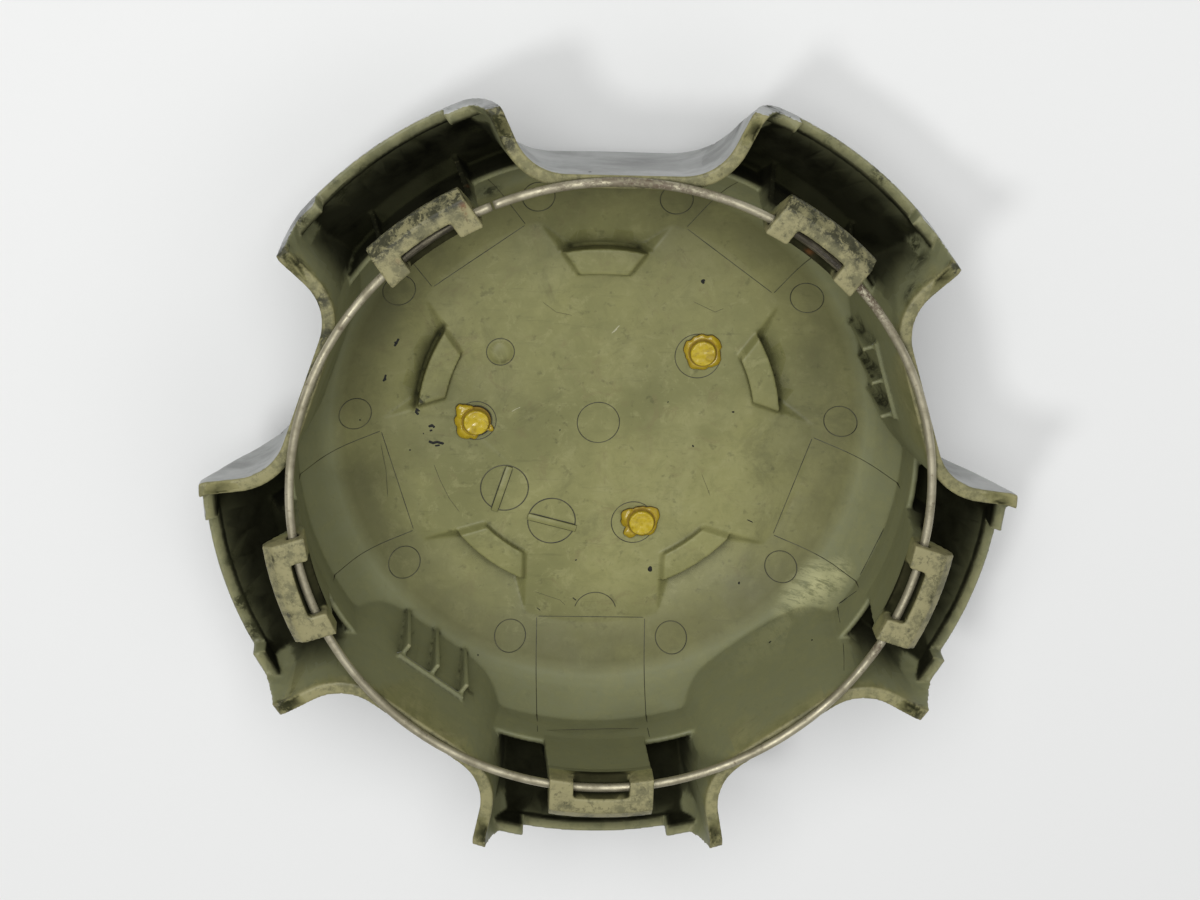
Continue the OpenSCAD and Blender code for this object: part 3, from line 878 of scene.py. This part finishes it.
def ejectorTree(material, carrier):
    tree = bpy.data.node_groups.new("ejectorMarks", "GeometryNodeTree")
    tree.interface.new_socket("Geometry", in_out="OUTPUT", socket_type="NodeSocketGeometry")
    for name in ("Radius", "Turn", "Size", "Height", "Thickness", "First"):
        tree.interface.new_socket(name, in_out="INPUT", socket_type="NodeSocketFloat")
    given = tree.nodes.new("NodeGroupInput").outputs

    def node(kind, feeds, **settings):
        return addNode(tree, kind, feeds, **settings)

    circle = "GeometryNodeCurvePrimitiveCircle"
    ring = node(circle, {"Resolution": ejectors["around"], "Radius": given["Size"]})
    section = node(circle, {"Resolution": 6, "Radius": given["Thickness"]})
    tube = node("GeometryNodeCurveToMesh", {"Curve": ring["Curve"], "Profile Curve": section["Curve"]})
    joined = tree.nodes.new("GeometryNodeJoinGeometry")
    for sign in (-1, 1):
        spots = node("GeometryNodeMeshCircle", {"Vertices": len(armAngles), "Radius": given["Radius"]})
        sums = {0: given["Turn"], 1: sign, 2: given["First"]}
        turn = node("ShaderNodeMath", sums, operation="MULTIPLY_ADD")
        angle = node("ShaderNodeCombineXYZ", {"Z": turn[0]})
        lift = node("ShaderNodeCombineXYZ", {"Z": given["Height"]})
        placed = node("GeometryNodeTransform", {
            "Geometry": spots["Mesh"], "Rotation": angle[0], "Translation": lift[0]})
        tree.links.new(placed["Geometry"], joined.inputs["Geometry"])
    copies = node("GeometryNodeInstanceOnPoints", {"Points": joined.outputs[0], "Instance": tube[0]})
    real = node("GeometryNodeRealizeInstances", {0: copies[0]})
    # each point of a mark drops straight down onto the shell
    target = node("GeometryNodeObjectInfo", {"Object": carrier}, transform_space="RELATIVE")
    position = node("GeometryNodeInputPosition", {})
    parts = node("ShaderNodeSeparateXYZ", {0: position[0]})
    ray = node("GeometryNodeRaycast", {
        "Target Geometry": target["Geometry"], "Source Position": position[0], "Ray Direction": (0, 0, -1)})
    own = node("ShaderNodeMath", {0: parts["Z"], 1: given["Height"]}, operation="SUBTRACT")
    lifted = node("ShaderNodeCombineXYZ", {"Z": own[0]})
    landed = node("ShaderNodeVectorMath", {0: ray["Hit Position"], 1: lifted[0]}, operation="ADD")
    moved = node("GeometryNodeSetPosition", {"Geometry": real[0], "Position": landed[0]})
    plain = node("GeometryNodeRealizeInstances", {0: moved[0]})
    finish = node("GeometryNodeSetMaterial", {"Geometry": plain[0], "Material": material})
    node("NodeGroupOutput", {0: finish[0]})
    return tree


def setInput(modifier, name, value):
    for item in modifier.node_group.interface.items_tree:
        if item.item_type == "SOCKET" and item.in_out == "INPUT" and item.name == name:
            modifier[item.identifier] = value


def makeEjectors(material, carrier):
    piece = meshObject("ejectorMarks", bpy.data.meshes.new("ejectorMarks"), material)
    build = piece.modifiers.new("build", "NODES")
    build.node_group = ejectorTree(material, carrier)
    for name in ("Radius", "Size", "Height", "Thickness"):
        setInput(build, name, ejectors[name.lower()] * mm)
    setInput(build, "Turn", math.radians(ejectors["turn"]))
    setInput(build, "First", math.radians(armAngles[0]))
    settled(piece, material)
    smoothShade(piece.data)
    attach(piece, "root")


# Glue over the three post ends. Lobes are (x, y, radius, height) from the post, in mm
glue = {
    "pieces": {
        "glueLeft": {
            "node": "glue_left", "post": (-30.0, 0.0),
            "lobes": [
                (-0.3, 0, 3.6, 0.8), (-2.7, 2.0, 2.4, 1.4), (-2.5, -2.4, 2.5, 1.3), (-3.4, 0.1, 2.1, 1.0),
                (-4.0, 3.2, 1.1, 1.0), (-0.6, -3.2, 1.5, 0.9), (3.6, -1.9, 0.9, 0.8),
            ],
        },
        "glueRight": {
            "node": "glue_right", "post": (24.8, 18.6),
            "lobes": [
                (0, 0, 4.5, 1.2), (-1.9, 0.6, 3.0, 1.1), (1.6, 1.5, 3.0, 1.2), (1.9, -1.3, 2.8, 1.0),
                (-1.2, -1.8, 2.8, 1.0), (-0.6, 2.3, 2.4, 0.9),
            ],
        },
        "glueLow": {
            "node": "glue_low", "post": (11.6, -25.6),
            "lobes": [
                (0.3, 0, 4.0, 1.1), (-2.9, 1.0, 2.3, 1.2), (-2.6, -2.9, 1.7, 0.9), (-3.6, 0.0, 1.6, 0.9),
                (2.0, 1.4, 2.6, 1.0), (1.4, -1.2, 2.7, 1.0),
            ],
        },
    },
    "discRadius": 3.2,  # the round top over the post's end
    "discTop": 2.1,
    "discEdge": 0.55,  # width of its rounded edge
    "grooveWidth": 0.5,
    "grooveFloor": (0.3, 0.75),  # lowest and highest
    "wobble": (0.75, 0.35),  # how fast the outline wanders, and how far
    "lump": (0.9, 0.16),
    "shoulder": (0.4, 1.6),  # where the round top starts to fall at its edge, and how steeply
    "beside": 8.5,  # from a post to the plain hub
    "grooveSoft": (0.15, 0.40),  # middle of the dark groove beyond the top, and its half width
    "rimWidth": 0.34,
    "merge": 0.001,
    "around": 120,
    "rings": 46,
    "reach": 6.2,  # farthest from the post
    "leastReach": 3.0,
    "reachStep": 0.06,
    "yellow": (0.46, 0.345, 0.016),
    "amber": (0.27, 0.185, 0.010),
    "brown": (0.190, 0.118, 0.006),
    "burnt": (0.085, 0.050, 0.004),
}


def glueHeight(x, y, lobes, seed):
    # height of the glue above the hub at one place, below zero outside its outline
    pace, size = glue["wobble"]
    wobble = noise.noise(Vector((x * pace + seed, y * pace, seed))) * size
    skirt = -1.0
    for lx, ly, radius, high in lobes:
        share = 1 - ((x - lx) ** 2 + (y - ly) ** 2) / (radius + wobble) ** 2
        part = high * math.sqrt(share) if share > 0 else share * 0.8
        skirt = max(skirt, part) + 0.08 * max(0.0, min(part, skirt))
    away = math.hypot(x, y)
    disc = glue["discRadius"]
    if away < disc:
        edge = min(1.0, (disc - away) / glue["discEdge"])
        pace, size = glue["lump"]
        lump = noise.noise(Vector((x * pace, y * pace + seed, 2.0 * seed))) * size
        top = glue["discTop"] - 0.10 + 0.10 * math.sin(edge * math.pi / 2) + lump * edge
        start, slope = glue["shoulder"]
        return top - max(0.0, start - edge) * slope
    if away < disc + glue["grooveWidth"]:
        low, high = glue["grooveFloor"]
        return min(max(skirt, low), high)
    return skirt


def glueEdge(angle, lobes, seed):
    # how far the glue reaches from the post in one direction
    c, s = math.cos(angle), math.sin(angle)
    radius = glue["reach"]
    while radius > glue["leastReach"] and glueHeight(radius * c, radius * s, lobes, seed) <= 0:
        radius -= glue["reachStep"]
    return radius


def glueLook():
    look = Look("amberGlue")
    deep = look.ramp(look.attribute("glueDepth"), 0.15, 0.95)
    color = look.blend(deep, glue["amber"], glue["yellow"])
    layers = [
        (look.patchy((500, 4, 0.6, 0.5), (0.42, 0.72, 0.0, 0.4)), "amber"),
        (look.patchy((330, 5, 0.65, 0.8), (0.50, 0.64, 0.0, 0.65)), "amber"),
        (look.patchy((900, 5, 0.7), (0.56, 0.68, 0.0, 0.55)), "brown"),
        (look.ramp(look.attribute("glueGroove"), 0.15, 0.8, 0.0, 0.9), "brown"),
        (look.ramp(look.attribute("glueRim"), 0.25, 0.85), "burnt"),
    ]
    for share, tone in layers:
        color = look.blend(share, color, glue[tone])
    dull = look.maths("MAXIMUM", look.attribute("glueGroove"), look.attribute("glueRim"))
    rough = look.ramp(dull, 0.1, 0.7, 0.24, 0.85)
    look.finish(color, rough, normal=look.bump(look.noise(520, 4, 0.6), 0.45, 0.25 * mm))
    return look.material


def makeGlue(tree):
    material = glueLook()
    around, rings, disc = glue["around"], glue["rings"], glue["discRadius"]
    angles = [2 * math.pi * i / around for i in range(around)]
    inset, soft = glue["grooveSoft"]
    for number, (name, spec) in enumerate(glue["pieces"].items()):
        px, py = spec["post"]
        floor = castDown(tree, px, py + glue["beside"])[0].z / mm
        seed = 3.7 * (number + 1)
        edges = [glueEdge(angle, spec["lobes"], seed) for angle in angles]
        places, depth, groove, rim = [], [], [], []
        for j in range(rings + 1):
            for angle, edge in zip(angles, edges):
                r = edge * j / rings
                x, y = r * math.cos(angle), r * math.sin(angle)
                h = glueHeight(x, y, spec["lobes"], seed)
                z = -sink if j == rings else max(h, 0.02)
                places.append(Vector((px + x, py + y, floor + z)) * mm)
                depth.append(1.0 if r < disc - 0.1 else 0.25 + 0.35 * min(1.0, max(h, 0)))
                groove.append(max(0.0, 1 - abs(r - disc - inset) / soft))
                rim.append(max(0.0, 1 - (edge - r) / glue["rimWidth"]))
        faces = []
        for j in range(rings):
            for i in range(around):
                k = (i + 1) % around
                faces.append((j * around + i, (j + 1) * around + i, (j + 1) * around + k, j * around + k))
        faces.append([rings * around + i for i in range(around)][::-1])
        mesh = bpy.data.meshes.new(name)
        mesh.from_pydata(places, [], faces)
        for layer, values in (("glueDepth", depth), ("glueGroove", groove), ("glueRim", rim)):
            storeValue(mesh, layer, values)
        rework(mesh, merge=glue["merge"], outward=True)
        smoothShade(mesh)
        piece = meshObject(name, mesh, material)
        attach(piece, "root")
        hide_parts(spec["node"])
    say("glue done")


# Retaining ring: one turn of spring wire, with its two ends just apart
wire = {
    "steps": 420,  # round the ring
    "sides": 20,
    "jointTurn": 113.3,  # degrees, where the two ends meet
    "jointGap": 0.45,
    "endShrink": 0.93,
    "waver": 0.02,  # uneven thickness, as a share
    "dent": 0.06,
    "steel": (0.465, 0.430, 0.310),
    "shadow": (0.018, 0.014, 0.008),
    "windowHalf": 6.1,  # degrees
    "windowDark": 0.9,
    "tarnish": (0.235, 0.212, 0.140),
    "darkWindows": [54, 126],  # arms whose head windows lie in the dark
    "rust": (0.075, 0.048, 0.026),
    "pitPlaces": [(88.0, 18.0), (43.0, 12.0), (332.0, 5.0)],  # direction and width in degrees
}


def wireLook():
    look = Look("springWire")
    stain = look.patchy((130, 5, 0.65, 0.3), (0.38, 0.66))
    color = look.blend(stain, wire["steel"], wire["tarnish"])
    speck = look.patchy((520, 4, 0.7), (0.58, 0.70, 0.0, 0.55))
    color = look.blend(speck, color, wire["rust"])
    pits = look.times(look.attribute("pitShare"), look.patchy((900, 4, 0.7), (0.42, 0.56)))
    color = look.blend(pits, color, wire["rust"])
    color = look.blend(look.attribute("windowShare"), color, wire["shadow"])
    streak = look.patchy((60, 6, 0.8, 0.0, (1.0, 1.0, 26.0)), (0.45, 0.62, 0.0, 0.5))
    color = look.blend(streak, color, wire["tarnish"])
    metal = look.times(look.ramp(stain, 0.0, 1.0, 0.75, 0.5), look.ramp(pits, 0.0, 0.6, 1.0, 0.3))
    rough = look.patchy((260, 4, 0.6), (0.3, 0.7, 0.40, 0.60))
    relief = look.plus(look.noise(700, 4, 0.6), look.times(pits, -1.2))
    look.finish(color, rough, metallic=metal, normal=look.bump(relief, 0.5, 0.12 * mm))
    return look.material


def makeWire():
    low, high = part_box("retaining_ring")
    thick = (high.z - low.z) / 2
    radius = (high.x - low.x) / 2 - thick
    middle = (high.z + low.z) / 2
    jointHalf = 0.5 * wire["jointGap"]
    count, sides = wire["steps"], wire["sides"]
    places, pit, window = [], [], []
    for i in range(count + 1):
        turn = wire["jointTurn"] + jointHalf + (360 - 2 * jointHalf) * i / count
        angle = math.radians(turn)
        along = Vector((math.cos(angle), math.sin(angle), 0))
        share = 0.0
        for place, wide in wire["pitPlaces"]:
            share = max(share, 1 - angleBetween(turn, place) / wide)
        wear = 1 - wire["waver"] * (1 + noise.noise(along * 6)) / 2
        nearest = min(angleBetween(turn, arm) for arm in wire["darkWindows"])
        hidden = wire["windowDark"] * max(0.0, min(1.0, wire["windowHalf"] - nearest))
        for k in range(sides):
            spin = 2 * math.pi * k / sides
            dent = 1 - share * wire["dent"] * abs(noise.noise(Vector((turn * 0.9, spin * 1.3, 4.1))))
            r = thick * wear * dent * (wire["endShrink"] if i in (0, count) else 1.0)
            height = Vector((0, 0, middle + r * math.sin(spin)))
            places.append(along * (radius + r * math.cos(spin)) + height)
            pit.append(share ** 0.5)
            window.append(hidden)
    faces = []
    for start in range(0, count * sides, sides):
        faces += strip(range(start, start + sides), range(start + sides, start + 2 * sides))
    faces.append(list(range(sides))[::-1])
    faces.append([count * sides + k for k in range(sides)])
    mesh = bpy.data.meshes.new("retainingWire")
    mesh.from_pydata(places, [], faces)
    storeValue(mesh, "pitShare", pit)
    storeValue(mesh, "windowShare", window)
    rework(mesh, outward=True)
    mesh.polygons.foreach_set("use_smooth", [len(p.vertices) == 4 for p in mesh.polygons])
    piece = meshObject("retainingWire", mesh, wireLook())
    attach(piece, "root")
    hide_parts("retaining_ring")
    say("wire done")


# Badge on the front, plain, with a softened rim
badge = {
    "silver": (0.36, 0.37, 0.40),
    "dull": (0.25, 0.255, 0.27),
    "bevel": 0.35,  # mm
    "merge": 0.002,
    "bevelFrom": 40,  # degrees
    "sharpFrom": 35,
}


def badgeLook():
    look = Look("badgePaint")
    color = look.blend(look.patchy((60, 5, 0.6), (0.35, 0.7)), badge["silver"], badge["dull"])
    rough = look.patchy((900, 2, 0.5), (0.3, 0.7, 0.28, 0.42))
    relief = look.bump(look.noise(160, 3, 0.5), 0.15, 0.2 * mm)
    look.finish(color, rough, metallic=0.6, normal=relief, Coat_Weight=0.4, Coat_Roughness=0.15)
    return look.material


def makeBadge():
    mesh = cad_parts["emblem"].data.copy()
    rework(mesh, merge=badge["merge"], flatten=1)
    paint = badgeLook()
    piece = meshObject("badge", mesh, paint)
    soften = piece.modifiers.new("soften", "BEVEL")
    soften.width = badge["bevel"] * mm
    soften.segments = 3
    soften.limit_method = "ANGLE"
    soften.angle_limit = math.radians(badge["bevelFrom"])
    settled(piece, paint)
    smoothShade(piece.data)
    piece.data.set_sharp_from_angle(angle=math.radians(badge["sharpFrom"]))
    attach(piece, "root")
    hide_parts("emblem")
    say("badge done")


# Black scuffs and pale scratches, laid on the surface that shows at places (u, v) of the photo: lines
# as (places, width), dots as (u, v, radius), both in mm
scuffs = {
    "black": [
        ([(399, 338), (397, 342), (394, 347)], 0.9), ([(386, 374), (385, 378), (383, 382)], 0.8),
        ([(441, 333), (439, 337)], 0.6), ([(418, 408), (416, 412), (419, 415)], 0.9),
        ([(414, 410), (421, 411)], 0.6), ([(428, 427), (432, 425), (435, 428)], 0.9),
        ([(429, 431), (433, 430)], 0.7), ([(428, 441), (433, 443), (437, 442), (445, 444)], 1.0),
        ([(434, 446), (441, 445)], 0.7), ([(410, 449), (410, 451)], 0.6), ([(423, 433), (424, 434)], 0.5),
        ([(701, 280), (703, 282), (704, 284)], 0.9), ([(649, 568), (651, 570)], 1.2),
        ([(738, 582), (740, 584)], 0.5), ([(746, 519), (754, 523)], 0.4), ([(733, 411), (734, 413)], 0.6),
        ([(572, 597), (577, 601)], 0.4), ([(536, 607), (541, 611)], 0.3),
        ([(537, 721), (537.5, 731), (538.3, 740)], 0.2), ([(645, 718), (648, 730), (650, 739)], 0.25),
        ([(837, 606), (840, 622), (843, 635)], 0.2), ([(843, 641), (844, 656), (844, 674)], 0.16),
        ([(838, 604), (848, 597), (858, 590)], 0.2),
        ([(885, 526), (876, 544), (868, 560), (859, 577)], 0.2),
    ],
    "fine": [
        ([(433, 462), (440, 480), (449, 498), (461, 514)], 0.16),
        ([(380, 440), (386, 470), (388, 500)], 0.14),
        ([(690, 300), (715, 312), (725, 308)], 0.14), ([(530, 590), (560, 600), (566, 606)], 0.12),
        ([(700, 470), (712, 500)], 0.12), ([(540, 300), (556, 312), (575, 316)], 0.12),
        ([(545, 730), (640, 728)], 0.25),
    ],
    "dots": [
        (650, 569, 0.75), (703, 281, 0.55), (733, 412, 0.3), (693, 446, 0.3), (739, 583, 0.35),
        (576, 560, 0.25), (590, 172, 0.5), (770, 642, 0.4), (560, 430, 0.2), (431, 426, 0.45),
        (396, 343, 0.5), (385, 379, 0.45),
        (668, 402, 0.2), (812, 640, 0.3), (360, 420, 0.25), (478, 655, 0.25),
    ],
    "pale": [
        ([(611, 334), (616, 329), (620, 325)], 0.35), ([(613, 333), (618, 328)], 0.3),
        ([(511, 412), (516, 409), (521, 407)], 0.25),
    ],
    "height": 0.04,
    "dotAround": 14,
    "dotTop": 0.8,  # its top's radius as a share
    "dotUneven": (0.18, 0.08),
    "lineSteps": 4,  # between two places of a line
    "finishes": {  # colour and roughness
        "black": ((0.008, 0.009, 0.007), 0.85),
        "pale": ((0.36, 0.35, 0.22), 0.5),
        "fine": ((0.060, 0.058, 0.027), 0.7),
    },
}


def scuffLook(name, color, roughness):
    look = Look(name)
    share = look.patchy((700, 3, 0.6), (0.4, 0.6))
    look.finish(look.blend(share, color, [c * 0.7 for c in color]), roughness)
    return look.material


def dot(work, place, normal, radius, height, phase):
    # a flat drop with a slightly uneven outline
    across = normal.orthogonal().normalized()
    up = normal.cross(across)
    rings = [[], []]
    around = scuffs["dotAround"]
    wide, small = scuffs["dotUneven"]
    for i in range(around):
        angle = 2 * math.pi * i / around
        reach = wide * math.sin(2 * angle + phase) + small * math.sin(3 * angle + 2 * phase)
        reach = radius * (1 + reach)
        out = across * math.cos(angle) + up * math.sin(angle)
        rings[0].append(work.verts.new(place + (out * reach - normal * sink) * mm))
        rings[1].append(work.verts.new(place + (out * reach * scuffs["dotTop"] + normal * height) * mm))
    for face in strip(*rings):
        work.faces.new(face)
    work.faces.new(rings[1])
    work.faces.new(rings[0][::-1])


def makeScuffs(tree):
    for kind, (color, roughness) in scuffs["finishes"].items():
        work = bmesh.new()
        if kind == "black":
            for number, (u, v, radius) in enumerate(scuffs["dots"]):
                place, normal = castPixel(tree, u, v)
                dot(work, place, normal, radius, scuffs["height"], 1.7 * number)
        for path, width in scuffs[kind]:
            hits = [castPixel(tree, u, v) for u, v in path]
            line = []
            steps = scuffs["lineSteps"]
            for (a, na), (b, nb) in zip(hits, hits[1:]):
                for k in range(steps):
                    line.append((a.lerp(b, k / steps), na.lerp(nb, k / steps).normalized()))
            line.append(hits[-1])
            bead(work, line, width, scuffs["height"])
        beadPiece(kind + "Scuffs", work, scuffLook(kind + "Scuff", color, roughness))


makeCamera()
makeStudio()
say("camera and studio")
capShell, shellTree = makeShell()
lineMaterial = markLook()
plastic = capShell.data.materials[0]
makeMarks(shellTree, lineMaterial)
makeInserts(shellTree, plastic)
makeBump(shellTree, plastic)
makeEjectors(lineMaterial, capShell)
makeScuffs(shellTree)
say("marks and scuffs")
makeGlue(shellTree)
makeWire()
makeBadge()

bpy.context.scene.view_settings.view_transform = "Standard"
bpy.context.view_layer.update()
say("finished")
